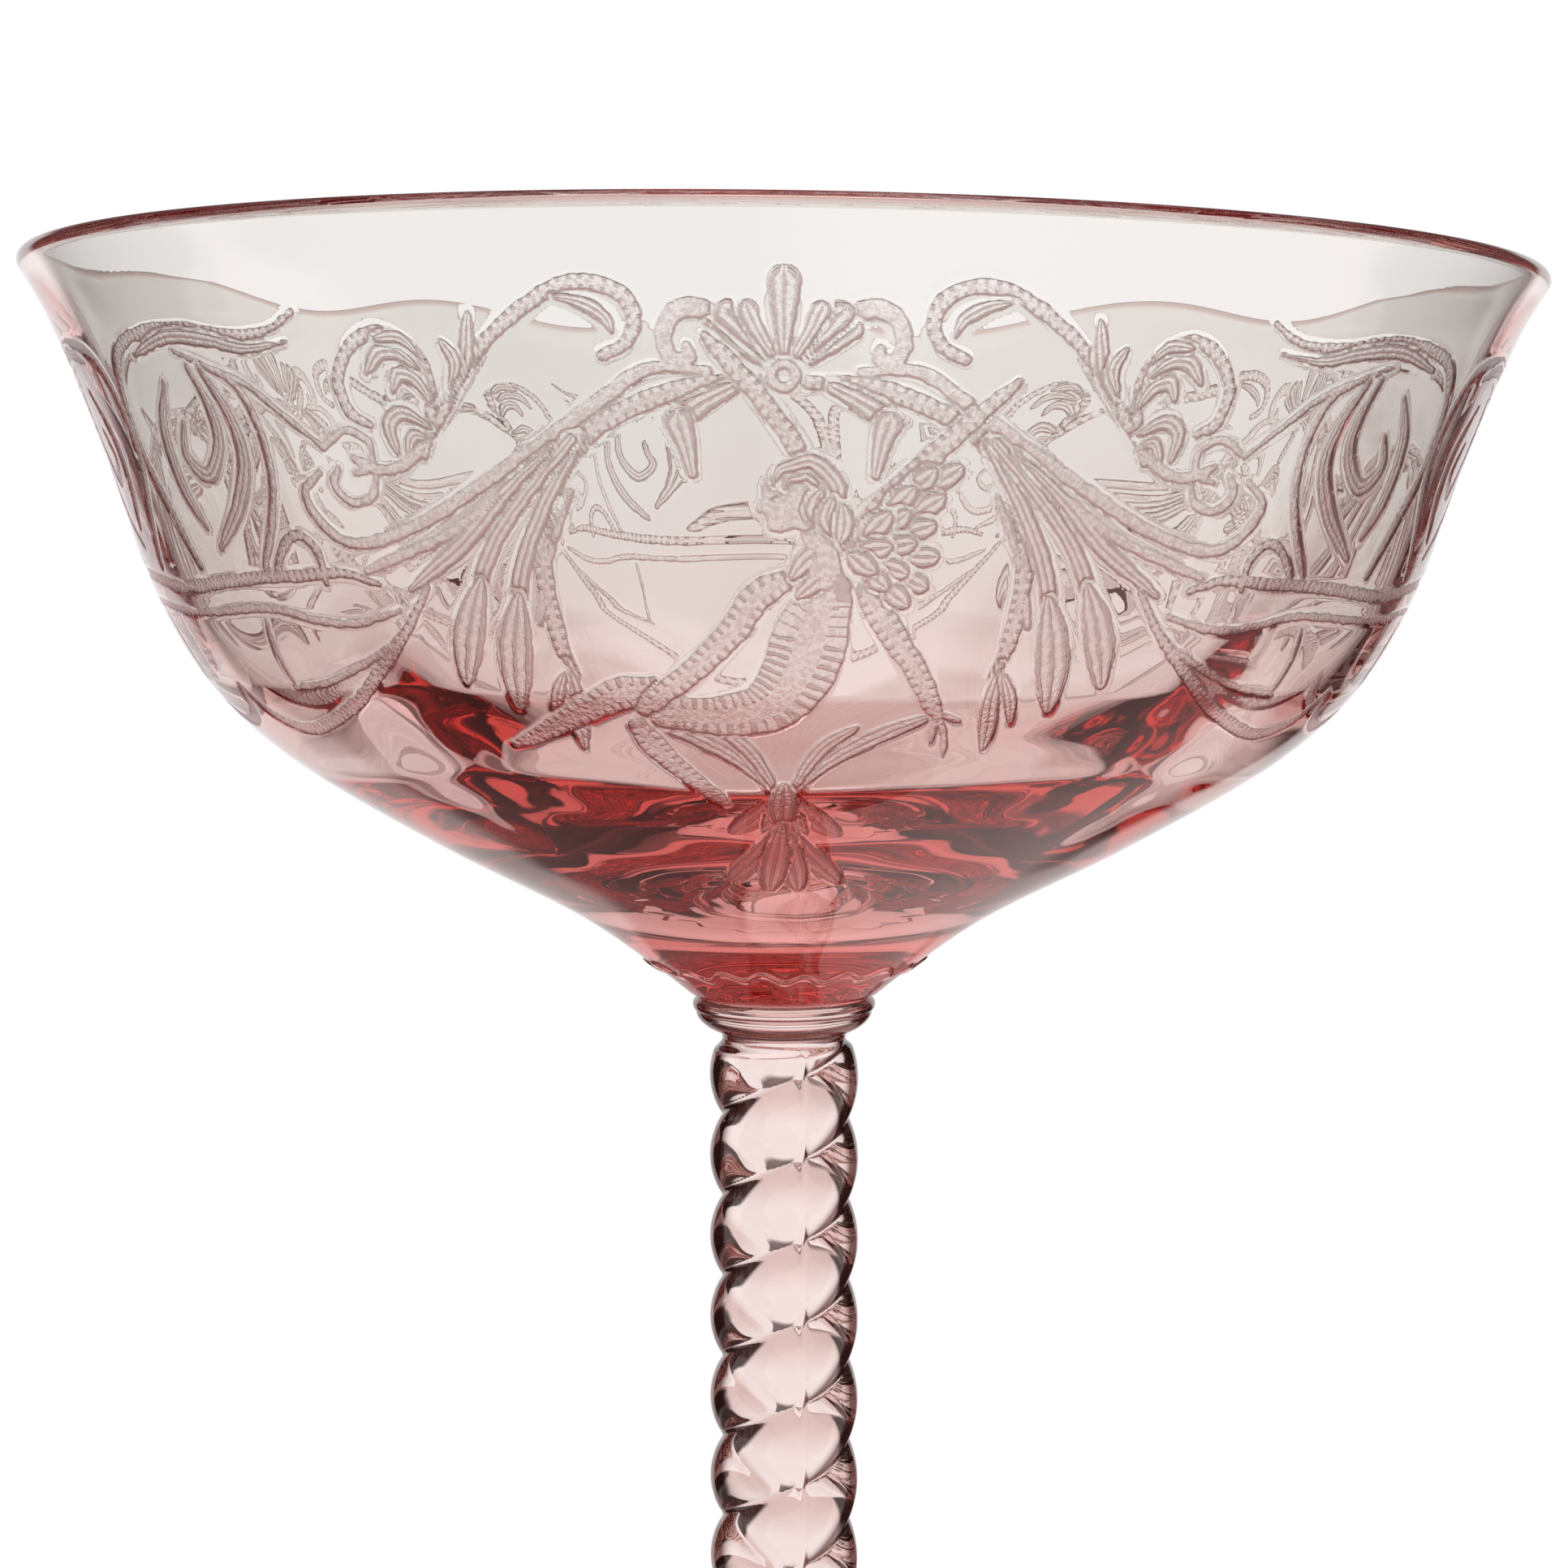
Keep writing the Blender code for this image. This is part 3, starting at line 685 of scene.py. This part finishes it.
def cavity_profile(top):
    """(radius, depth) down the inside of the wall from this depth of the outside, and across the base."""
    depths = spread(top, WALL_FOOT, WALL_ROWS)
    outward, upward = wall_normal(depths)
    thickness = RIM_WALL + (SHOULDER_WALL - RIM_WALL) * smoothstep(WALL_STEADY, WALL_FOOT, depths)
    wall = np.stack([outside_radius(depths) - thickness * outward, depths + thickness * upward], axis=-1)
    dish_radius, dish_depth = BASE_STATIONS[-1]
    share = spread(1.0, 0.0, DISH_ROWS)[1:-1]
    dish = np.stack([dish_radius * share, FLOOR_DEPTH - (FLOOR_DEPTH - dish_depth) * share**2], axis=-1)
    base = path_through([wall[-WALL_LEAD], wall[-1], *BASE_STATIONS, dish[DISH_LEAD]], BASE_SPACING)
    first = np.flatnonzero(base[:, 1] > wall[-1, 1] + WALL_CLEARANCE)[0]
    last = np.flatnonzero(base[:, 0] > dish_radius)[-1]
    return np.vstack([wall, base[first : last + 1], dish])


def cavity_surface(top):
    """The rings of the bowl's inside, from its lip to beside the axis."""
    profile = cavity_profile(top)[1:]
    radii, depths = profile[:, 0], profile[:, 1]
    across, down = np.gradient(radii), np.gradient(depths)
    length = np.hypot(across, down)
    inward, up = -(down / length)[:, None], (across / length)[:, None]
    azimuth = round_turn(COARSE)
    depth_in = thickening(azimuth[None, :], depths[:, None], radii[:, None])
    inside = rings(radii, TOTAL_HEIGHT - depths, COARSE)
    inside[..., 0] += depth_in * inward * np.sin(azimuth)
    inside[..., 1] -= depth_in * inward * np.cos(azimuth)
    inside[..., 2] -= depth_in * up
    return inside


def rim_surface():
    """The rings over the bowl's rounded rim, and the depth at which the rim meets the outside."""
    half = RIM_WALL / 2
    lip = half
    for _ in range(LIP_ROUNDS):
        outward, upward = wall_normal(lip)
        lip = half * (1 - upward)
    radius = outside_radius(lip) - half * outward
    tilt = math.atan2(upward, outward)
    angles = spread(math.pi + tilt, tilt, RIM_ROWS)
    return rings(radius + half * np.cos(angles), TOTAL_HEIGHT - half + half * np.sin(angles), COARSE), lip


def etched_band():
    """The fine band of the bowl's outside, and the pattern's values at each of its points."""
    top, foot = length_at([BAND_TOP, BAND_FOOT])
    rows = math.ceil((foot - top) / ROW_SPACING)
    depths = np.interp(spread(top, foot, rows), *outside_lengths()[::-1])
    etching = Etching(depths)
    etching.draw()
    values = etching.whole_round()
    sunk = ETCH_DEPTH * smoothstep(-ETCH_SLOPE / 2, ETCH_SLOPE / 2, values["etch"])
    outward, upward = wall_normal(depths)
    radii = outside_radius(depths)[:, None] - sunk * outward[:, None]
    band = rings(radii, TOTAL_HEIGHT - depths, COLUMNS)
    band[..., 2] -= sunk * upward[:, None]
    return band, values


def low_surface():
    """The rings of the bowl's outside below the etched band, with the scalloped ridge."""
    depths = spread(BAND_FOOT, BOWL_HEIGHT - OUTSIDE_END, LOW_ROWS)[1:]
    azimuth = round_turn(COARSE)
    wave = SCALLOP_WAVE * np.cos(SCALLOPS * azimuth + waves(SCALLOP_DRIFT, azimuth))
    crest = SCALLOP_DEPTH + wave + waves(SCALLOP_SLOPE, azimuth)
    ridge = SCALLOP_HEIGHT * np.exp(-(((depths[:, None] - crest) / SCALLOP_HALF_WIDTH) ** 2))
    return rings(outside_radius(depths)[:, None] + ridge, TOTAL_HEIGHT - depths, COARSE)


def make_bowl(material):
    """The bowl, from the inside over the rim and down the outside to its joint."""
    rim, lip = rim_surface()
    under_rim_depths = spread(lip, BAND_TOP, UNDER_RIM_ROWS)[1:-1]
    under_rim = rings(outside_radius(under_rim_depths), TOTAL_HEIGHT - under_rim_depths, COARSE)
    band, values = etched_band()
    joint_height = BOWL_JOINT + SLIT / 2
    notch = [(radius, BOWL_BASE + height) for radius, height in NOTCH_STATIONS]
    notch_radii, notch_heights = zip(*notch, (BOWL_JOINT_RADIUS, joint_height))
    shell = Shell()
    plain = {"etch": -ETCH_REACH}
    previous, inner_foot = shell.grid(lean(cavity_surface(lip)), flip=True, **plain)
    outside = ((rim, plain), (under_rim, plain), (band, values), (low_surface(), plain))
    for points, point_values in outside:
        first, last = shell.grid(lean(points), **point_values)
        shell.bridge(previous, first)
        previous = last
    first, _ = shell.grid(rings(notch_radii, notch_heights, COARSE), **plain)
    shell.bridge(previous, first)
    shell.fan(inner_foot, TOTAL_HEIGHT - FLOOR_DEPTH, flip=True, **plain)
    shell.joint(BOWL_JOINT_RADIUS, joint_height, COARSE, up=False)
    return shell.build("bowl_glass", material)


def make_turned(name, material, radii, heights, columns, foot_joint=True):
    """A turned piece. Its profile runs down from a joint to another joint or to the axis."""
    shell = Shell()
    _, last = shell.grid(rings(radii, heights, columns))
    shell.joint(radii[0], heights[0], columns, up=True)
    if foot_joint:
        shell.joint(radii[-1], heights[-1], columns, up=False)
    else:
        shell.fan(last, heights[-1])
    return shell.build(name, material)


def make_collar(material, lower):
    """The ring between the bowl and the stem or, upside down, between the stem and the foot."""
    height = BOWL_JOINT - STEM_TOP - SLIT
    outside = [(radius, height - drop) for radius, drop in COLLAR_STATIONS]
    outside = [(BOWL_JOINT_RADIUS, height), *outside, (STEM_JOINT_RADIUS, 0.0)]
    radii, rise = rounded(outside, COLLAR_ROUNDS).T
    if lower:
        heights = STEM_FOOT - SLIT / 2 - rise[::-1] * (STEM_FOOT - FOOT_JOINT - SLIT) / height
        return make_turned("lower_collar_glass", material, radii[::-1], heights, COLLAR_COLUMNS)
    return make_turned("upper_collar_glass", material, radii, rise + STEM_TOP + SLIT / 2, COLLAR_COLUMNS)


def make_stem(material):
    """The twisted rod. The two halves of its mould meet at the seams, a little out of step."""
    top, foot = STEM_TOP - SLIT / 2, STEM_FOOT + SLIT / 2
    rows = math.ceil((top - foot) / STEM_ROW)
    heights = spread(top, foot, rows)
    azimuth = round_turn(STEM_COLUMNS) + math.radians(SEAM_AZIMUTH)
    from_seam = (azimuth - math.radians(SEAM_AZIMUTH)) % TAU
    shift = np.where(from_seam < math.pi, 0.5, -0.5) * SEAM_MISMATCH
    turn_height = heights[:, None] + shift[None, :] - CREASE_HEIGHT
    share = (LOBES * azimuth[None, :] / TAU - turn_height / LOBE_SPACING) % 1.0
    swell = np.sqrt(np.sin(np.pi * share) ** 2 + CREASE_SOFTNESS) ** LOBE_POWER
    to_seam = np.minimum(from_seam % math.pi, math.pi - from_seam % math.pi) * LOBE_RADIUS
    ridge = SEAM_HEIGHT * np.exp(-((to_seam / SEAM_HALF_WIDTH) ** 2))
    web = WEB_HEIGHT * (1 - swell) * np.exp(-((to_seam / WEB_HALF_WIDTH) ** 2))
    radii = CREASE_RADIUS + (LOBE_RADIUS - CREASE_RADIUS) * swell + ridge[None, :] + web
    from_end = np.minimum(top - heights, heights - foot)[:, None]
    radii = STEM_JOINT_RADIUS + (radii - STEM_JOINT_RADIUS) * smoothstep(0.0, STEM_END_BLEND, from_end)
    z = np.broadcast_to(heights[:, None], radii.shape)
    shell = Shell()
    shell.grid(np.stack([radii * np.sin(azimuth), -radii * np.cos(azimuth), z], axis=-1))
    shell.joint(STEM_JOINT_RADIUS, top, STEM_COLUMNS, up=True)
    shell.joint(STEM_JOINT_RADIUS, foot, STEM_COLUMNS, up=False)
    return shell.build("stem_glass", material)


def make_foot(material):
    """Down the dome from the joint, round the edge, and under the rest ring into the hollow."""
    reach = FOOT_RADIUS - FOOT_EDGE
    dome_foot = 2 * FOOT_EDGE
    share = spread(0.0, 1.0, DOME_ROWS)[1:]
    dome_rise = (FOOT_HEIGHT - dome_foot) * (1 - share) ** DOME_POWER
    dome = np.stack([NECK_RADIUS + (reach - NECK_RADIUS) * share, dome_foot + dome_rise], axis=-1)
    angles = spread(0.0, math.pi, EDGE_ROWS)[1:]
    edge = np.stack([reach + FOOT_EDGE * np.sin(angles), FOOT_EDGE + FOOT_EDGE * np.cos(angles)], axis=-1)
    share = spread(0.0, 1.0, HOLLOW_ROWS)[1:-1]
    hollow = np.stack([REST_RADIUS * (1 - share), HOLLOW_HEIGHT * np.sin(share * math.pi / 2)], axis=-1)
    start = [(FOOT_JOINT_RADIUS, FOOT_JOINT - SLIT / 2), NECK_START]
    profile = np.vstack([start, dome, edge, [(REST_RADIUS, 0.0)], hollow])
    return make_turned("foot_glass", material, profile[:, 0], profile[:, 1], FOOT_COLUMNS, foot_joint=False)


# ---- materials

WHITE = (1.0, 1.0, 1.0, 1.0)

# Glass that turns from clear to pink between two depths. Most of its colour is what it absorbs.
IOR = 1.5
CLEAR_TINT = (0.925, 0.942, 0.920, 1.0)
PINK_TINT = (0.965, 0.905, 0.89, 1.0)
CLEAR_DEPTH = 12.0
PINK_DEPTH = 42.0
BOWL_ABSORBED, BOWL_DENSITY = (0.88, 0.13, 0.08, 1.0), 38.0
STEM_ABSORBED, STEM_DENSITY = (0.88, 0.3, 0.2, 1.0), 20.0

# Painted shade: a darker colour where the surface turns away, standing in for the dark edges that glass
# shows when seen edge on.
BOWL_EDGE, BOWL_EDGE_SHADE = (0.78, 0.97), (0.30, 0.17, 0.16, 1.0)
STEM_EDGE, STEM_EDGE_SHADE = (0.30, 0.52), (0.06, 0.022, 0.020, 1.0)

# The etching's look. A noise is (scale, detail, roughness). RISE and FALL are where a feature fades in and
# out, in the depth field. LIT is a range of the facing field and the feature's strength at its ends.
GRAIN = (3200.0, 3.0, 0.65)
RAGGED, RAGGED_REACH = (1200.0, 3.0), 0.36
FROST_RISE = (0.0, 0.06)
FROST_ROUGHNESS = 0.22
FROST_GRAIN = (0.38, 0.62)
FROST_DARK, FROST_LIGHT = (0.66, 0.56, 0.54, 1.0), (0.98, 0.94, 0.93, 1.0)
# Painted shade along the shapes' outlines, and a painted highlight, the halo, just outside them.
OUTLINE_RISE, OUTLINE_FALL = (-0.08, 0.0), (0.18, 0.07)
OUTLINE_LIT = (-0.6, 0.5, 0.35, 0.95)
OUTLINE_SHADE_COLOUR = (0.34, 0.225, 0.215, 1.0)
HALO_RISE, HALO_FALL = (-0.26, -0.16), (-0.06, -0.12)
HALO_LIT = (-0.2, 0.6, 0.9, 0.5)
HALO_HIGHLIGHT_COLOUR = (1.0, 1.0, 0.99, 1.0)

# Ticks cross a stroke near its edges and veins run along a leaf, as waves with cuts and crests. The cuts
# are painted dark as shade, and the crests light as a painted highlight.
TICK_SPACING = 0.62
TICK_RAGGED = 3.0
TICK_SHARE = (0.30, 0.45)
VEIN_RATE = 8.5
VEIN_RAGGED = 2.5
CUT_WAVE, CUT_STRENGTH, CUT_SHADE_COLOUR = (0.25, 0.75), 0.75, (0.42, 0.30, 0.285, 1.0)
CREST_WAVE, CREST_STRENGTH, CREST_HIGHLIGHT_COLOUR = (-0.35, -0.85), 0.7, (1.0, 0.99, 0.98, 1.0)
FROST_BUMP, CUT_BUMP, GRAIN_BUMP = -0.06 * MM, -0.05 * MM, 0.07 * MM


class Nodes:
    """A short way to write a node tree."""

    def __init__(self, tree):
        self.tree = tree
        tree.nodes.clear()

    def put(self, socket, value):
        """Links a node's output to the socket, or sets a plain value there."""
        if isinstance(value, bpy.types.NodeSocket):
            self.tree.links.new(value, socket)
        else:
            socket.default_value = value

    def add(self, kind, inputs=None, **settings):
        node = self.tree.nodes.new(kind)
        for name, value in settings.items():
            setattr(node, name, value)
        for name, value in (inputs or {}).items():
            self.put(node.inputs[name], value)
        return node

    def math(self, operation, *values):
        node = self.add("ShaderNodeMath", operation=operation)
        for socket, value in zip(node.inputs, values):
            self.put(socket, value)
        return node.outputs[0]

    def times(self, a, b):
        return self.math("MULTIPLY", a, b)

    def plus(self, a, b):
        return self.math("ADD", a, b)

    def ramp(self, value, low, high, to_low=0.0, to_high=1.0):
        node = self.add(
            "ShaderNodeMapRange",
            {"Value": value, "From Min": low, "From Max": high, "To Min": to_low, "To Max": to_high},
            interpolation_type="SMOOTHSTEP",
        )
        return node.outputs["Result"]

    def band(self, value, rise, fall):
        """1 between two ramps, and 0 outside them."""
        return self.times(self.ramp(value, *rise), self.ramp(value, *fall))

    def noise(self, position, scale, detail, roughness=0.5):
        inputs = {"Vector": position, "Scale": scale, "Detail": detail, "Roughness": roughness}
        return self.add("ShaderNodeTexNoise", inputs).outputs[0]

    def attribute(self, name):
        return self.add("ShaderNodeAttribute", attribute_name=name).outputs["Fac"]

    def mix(self, factor, a, b):
        node = self.add("ShaderNodeMix", data_type="RGBA")
        for socket, value in ((node.inputs[0], factor), (node.inputs[6], a), (node.inputs[7], b)):
            self.put(socket, value)
        return node.outputs[2]

    def turned_away(self, low, high):
        """0 where the surface faces the eye, and 1 where it is seen edge on."""
        weight = self.add("ShaderNodeLayerWeight", {"Blend": 0.5})
        return self.ramp(weight.outputs["Facing"], low, high)


def dark_edges(n, position, tint):
    """The stem's and the collars' surface: painted shade, darker where it turns away."""
    return {"Base Color": n.mix(n.turned_away(*STEM_EDGE), tint, STEM_EDGE_SHADE)}


def etching_waves(n, ragged):
    """The waves whose highs and lows are the ticks of ticked strokes and the veins of leaves."""
    along, across, style = n.attribute("along"), n.attribute("across"), n.attribute("style")
    ticks = n.math("SINE", n.plus(n.times(along, TAU / TICK_SPACING), n.times(ragged, TICK_RAGGED)))
    veins = n.math("SINE", n.plus(n.times(across, VEIN_RATE), n.times(ragged, VEIN_RAGGED)))
    is_ticked = n.band(style, (1.4, 1.6), (2.6, 2.4))
    is_veined = n.math("SUBTRACT", n.ramp(style, 0.4, 0.6), is_ticked)
    near_edge = n.ramp(n.math("ABSOLUTE", across), *TICK_SHARE)
    return n.plus(n.times(ticks, n.times(is_ticked, near_edge)), n.times(veins, is_veined))


def etched(n, position, tint):
    """The bowl's surface: satin etched shapes with a dark outline of painted shade and a pale halo of
    painted highlight, cut by ticks and veins with painted shade in their cuts and painted highlights on
    their crests, and painted shade where the glass turns away. The outline's painted shade is darker, and
    the painted highlight fainter, where the slope faces down to the right."""
    # Painted shade: the glass's colour turns darker where its surface is seen edge on.
    tint = n.mix(n.turned_away(*BOWL_EDGE), tint, BOWL_EDGE_SHADE)
    grain = n.noise(position, *GRAIN)
    ragged = n.noise(position, *RAGGED)
    etch = n.plus(n.attribute("etch"), n.times(n.math("SUBTRACT", ragged, 0.5), RAGGED_REACH))
    facing = n.attribute("facing")
    frost = n.ramp(etch, *FROST_RISE)
    # The outline is painted shade and the halo a painted highlight, each weighted by the facing field.
    outline = n.times(n.band(etch, OUTLINE_RISE, OUTLINE_FALL), n.ramp(facing, *OUTLINE_LIT))
    halo = n.times(n.band(etch, HALO_RISE, HALO_FALL), n.ramp(facing, *HALO_LIT))
    wave = etching_waves(n, ragged)
    # Painted shade in the cuts, and a painted highlight on the crests.
    cut = n.times(n.ramp(wave, *CUT_WAVE), frost)
    crest = n.times(n.ramp(wave, *CREST_WAVE), frost)
    relief = n.plus(n.times(frost, FROST_BUMP), n.times(cut, CUT_BUMP))
    relief = n.plus(relief, n.times(n.times(grain, frost), GRAIN_BUMP))
    bump = n.add("ShaderNodeBump", {"Height": relief, "Distance": 1.0, "Strength": 1.0})
    satin = n.mix(n.ramp(grain, *FROST_GRAIN), FROST_DARK, FROST_LIGHT)
    colour = n.mix(frost, tint, satin)
    colour = n.mix(n.times(crest, CREST_STRENGTH), colour, CREST_HIGHLIGHT_COLOUR)
    colour = n.mix(halo, colour, HALO_HIGHLIGHT_COLOUR)
    colour = n.mix(n.times(cut, CUT_STRENGTH), colour, CUT_SHADE_COLOUR)
    colour = n.mix(outline, colour, OUTLINE_SHADE_COLOUR)
    return {"Base Color": colour, "Roughness": n.times(frost, FROST_ROUGHNESS), "Normal": bump.outputs[0]}


def glass(name, absorbed, density, finish_and_painted_shade=None):
    """Glass that takes most of its pink from its depth."""
    material = bpy.data.materials.new(name)
    material.use_nodes = True
    n = Nodes(material.node_tree)
    position = n.add("ShaderNodeTexCoord").outputs["Object"]
    height = n.add("ShaderNodeSeparateXYZ", {"Vector": position}).outputs["Z"]
    rise = n.ramp(height, (TOTAL_HEIGHT - PINK_DEPTH) * MM, (TOTAL_HEIGHT - CLEAR_DEPTH) * MM)
    tint = n.mix(rise, PINK_TINT, CLEAR_TINT)
    surface = {"IOR": IOR, "Transmission Weight": 1.0, "Roughness": 0.0, "Base Color": tint}
    # The finish may paint shade and highlights into the base colour.
    if finish_and_painted_shade:
        surface.update(finish_and_painted_shade(n, position, tint))
    shader = n.add("ShaderNodeBsdfPrincipled", surface).outputs[0]
    see_through = n.add("ShaderNodeBsdfTransparent").outputs[0]
    joined = n.add("ShaderNodeMixShader", {0: n.attribute("joint"), 1: shader, 2: see_through})
    volume = n.add("ShaderNodeVolumeAbsorption", {"Color": absorbed, "Density": density})
    n.add("ShaderNodeOutputMaterial", {"Surface": joined.outputs[0], "Volume": volume.outputs[0]})
    return material


def pale_floor():
    """A matt, nearly white floor with a little unevenness."""
    material = bpy.data.materials.new("pale_floor")
    material.use_nodes = True
    n = Nodes(material.node_tree)
    position = n.add("ShaderNodeTexCoord").outputs["Object"]
    roughness = n.ramp(n.noise(position, *FLOOR_GRAIN), *FLOOR_ROUGHNESS)
    shader = n.add("ShaderNodeBsdfPrincipled", {"Base Color": FLOOR_COLOUR, "Roughness": roughness})
    n.add("ShaderNodeOutputMaterial", {"Surface": shader.outputs[0]})
    return material


# ---- the studio

# The floor lies just below the foot, so that the two flat faces don't meet.
FLOOR_DROP = 0.15
FLOOR_RADIUS = 120.0
FLOOR_SIDES = 96
FLOOR_COLOUR = (0.9, 0.9, 0.9, 1.0)
FLOOR_GRAIN = (60.0, 2.0)
FLOOR_ROUGHNESS = (0.3, 0.7, 0.55, 0.62)

# The dark panels, by the turn round the object, 0 to 1 over half a circle. The right one slants low down.
RIGHT_PANEL = (0.185, 0.215), (0.42, 0.40)
LEFT_PANEL = (0.58, 0.60), (0.81, 0.78)
PANEL_COLOUR = (0.045, 0.020, 0.018, 1.0)
SLANT = 0.28
SLANT_TOP, SLANT_FOOT = -0.05, -0.4

# How high they and the dark bands reach, by the upward part of the direction.
PANEL_HEIGHTS = (-0.56, -0.47), (0.95, 0.80)
OVERHEAD_HEIGHTS = (0.26, 0.34), (0.92, 0.84)
OVERHEAD_STRENGTH = 0.85
UNDERFOOT_HEIGHTS = (-0.50, -0.58)
UNDERFOOT_SIDE = (0.12, -0.12)
UNDERFOOT_STRENGTH = 0.75
BAND_COLOUR = (0.06, 0.03, 0.03, 1.0)
BACKDROP_HEIGHTS = (-0.45, -0.05)
BACKDROP_LOW_COLOUR = (0.80, 0.68, 0.66, 1.0)

# A ray through four surfaces that never reflected has crossed the bowl from side to side.
CROSSED_TWO_WALLS = (3.4, 3.6)
NEVER_REFLECTED = (0.6, 0.4)

# Lights and camera, in metres, watts and degrees.
LAMP_SIZE = 1.6
LAMP_POWER = 22.0
LAMP_PLACE = (0.0, 0.2, 1.4)
SENSOR_WIDTH = 36.0
LENS = 67.68
CAMERA_DISTANCE = 206.0
CAMERA_BELOW_RIM = 18.18
CAMERA_PITCH = -4.72
NEAREST = 0.01
MOST_BOUNCES = 32


def make_world():
    """A white studio with dark panels, a dark band overhead and one underfoot, which edge the glass. The
    camera sees only white, and what is seen straight through the bowl is plain."""
    world = bpy.data.worlds.new("studio")
    bpy.context.scene.world = world
    world.use_nodes = True
    n = Nodes(world.node_tree)
    direction = n.add("ShaderNodeTexCoord").outputs["Generated"]
    x, y, z = n.add("ShaderNodeSeparateXYZ", {"Vector": direction}).outputs
    turn = n.math("FRACT", n.math("DIVIDE", n.math("ARCTAN2", x, y), math.pi))
    below = n.math("MAXIMUM", n.math("SUBTRACT", z, SLANT_TOP), SLANT_FOOT)
    slant = n.times(n.math("MINIMUM", below, 0.0), SLANT)
    slanted = n.math("SUBTRACT", turn, slant)
    right = n.times(n.ramp(slanted, *RIGHT_PANEL[0]), n.ramp(turn, *RIGHT_PANEL[1]))
    left = n.band(turn, *LEFT_PANEL)
    panels = n.times(n.math("MAXIMUM", right, left), n.band(z, *PANEL_HEIGHTS))
    overhead = n.times(n.band(z, *OVERHEAD_HEIGHTS), OVERHEAD_STRENGTH)
    underfoot = n.times(n.ramp(z, *UNDERFOOT_HEIGHTS), n.ramp(x, *UNDERFOOT_SIDE))
    backdrop = n.mix(n.ramp(z, *BACKDROP_HEIGHTS), BACKDROP_LOW_COLOUR, WHITE)
    shade = n.mix(panels, backdrop, PANEL_COLOUR)
    shade = n.mix(overhead, shade, BAND_COLOUR)
    shade = n.mix(n.times(underfoot, UNDERFOOT_STRENGTH), shade, BAND_COLOUR)
    path = n.add("ShaderNodeLightPath").outputs
    crossed = n.ramp(path["Transmission Depth"], *CROSSED_TWO_WALLS)
    straight = n.times(crossed, n.ramp(path["Glossy Depth"], *NEVER_REFLECTED))
    shade = n.mix(straight, shade, backdrop)
    seen = n.mix(path["Is Camera Ray"], shade, WHITE)
    background = n.add("ShaderNodeBackground", {"Color": seen, "Strength": 1.0})
    n.add("ShaderNodeOutputWorld", {"Surface": background.outputs[0]})


def make_floor():
    """A round floor. The glass doesn't mirror it, so that no pale patch shows in the bowl's base."""
    bpy.ops.mesh.primitive_circle_add(vertices=FLOOR_SIDES, radius=FLOOR_RADIUS * MM, fill_type="NGON")
    floor = bpy.context.object
    floor.name = "floor"
    floor.location.z = -FLOOR_DROP * MM
    floor.data.materials.append(pale_floor())
    floor.visible_glossy = False


def make_lights():
    """One large soft lamp overhead, which the glass doesn't show."""
    light = bpy.data.lights.new("overhead_softbox", "AREA")
    light.shape = "DISK"
    light.size = LAMP_SIZE
    light.energy = LAMP_POWER
    lamp = bpy.data.objects.new("overhead_softbox", light)
    lamp.location = LAMP_PLACE
    lamp.visible_glossy = False
    lamp.visible_transmission = False
    bpy.context.scene.collection.objects.link(lamp)


def make_camera():
    """The photograph's view, from just below the rim's height and a little down."""
    camera = bpy.data.cameras.new("camera")
    camera.sensor_width = SENSOR_WIDTH
    camera.lens = LENS
    camera.clip_start = NEAREST
    obj = bpy.data.objects.new("camera", camera)
    obj.location = (0.0, -CAMERA_DISTANCE * MM, (TOTAL_HEIGHT - CAMERA_BELOW_RIM) * MM)
    obj.rotation_euler = (math.radians(90 + CAMERA_PITCH), 0.0, 0.0)
    bpy.context.scene.collection.objects.link(obj)
    bpy.context.scene.camera = obj


def set_view():
    """Light may pass many surfaces of glass, and colours are shown as they are."""
    scene = bpy.context.scene
    scene.view_settings.view_transform = "Standard"
    scene.cycles.max_bounces = MOST_BOUNCES
    scene.cycles.transmission_bounces = MOST_BOUNCES
    scene.cycles.glossy_bounces = MOST_BOUNCES
    scene.cycles.transparent_max_bounces = MOST_BOUNCES


def main():
    set_view()
    bowl_glass = glass("etched_rose_glass", BOWL_ABSORBED, BOWL_DENSITY, etched)
    stem_glass = glass("twisted_rose_glass", STEM_ABSORBED, STEM_DENSITY, dark_edges)
    foot_glass = glass("rose_glass", STEM_ABSORBED, STEM_DENSITY)
    pieces = {
        "bowl": make_bowl(bowl_glass),
        "upper_collar": make_collar(stem_glass, lower=False),
        "twisted_stem": make_stem(stem_glass),
        "lower_collar": make_collar(stem_glass, lower=True),
        "foot": make_foot(foot_glass),
    }
    for node, piece in pieces.items():
        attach(piece, "root")
        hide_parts(node)
    make_world()
    make_floor()
    make_lights()
    make_camera()


main()
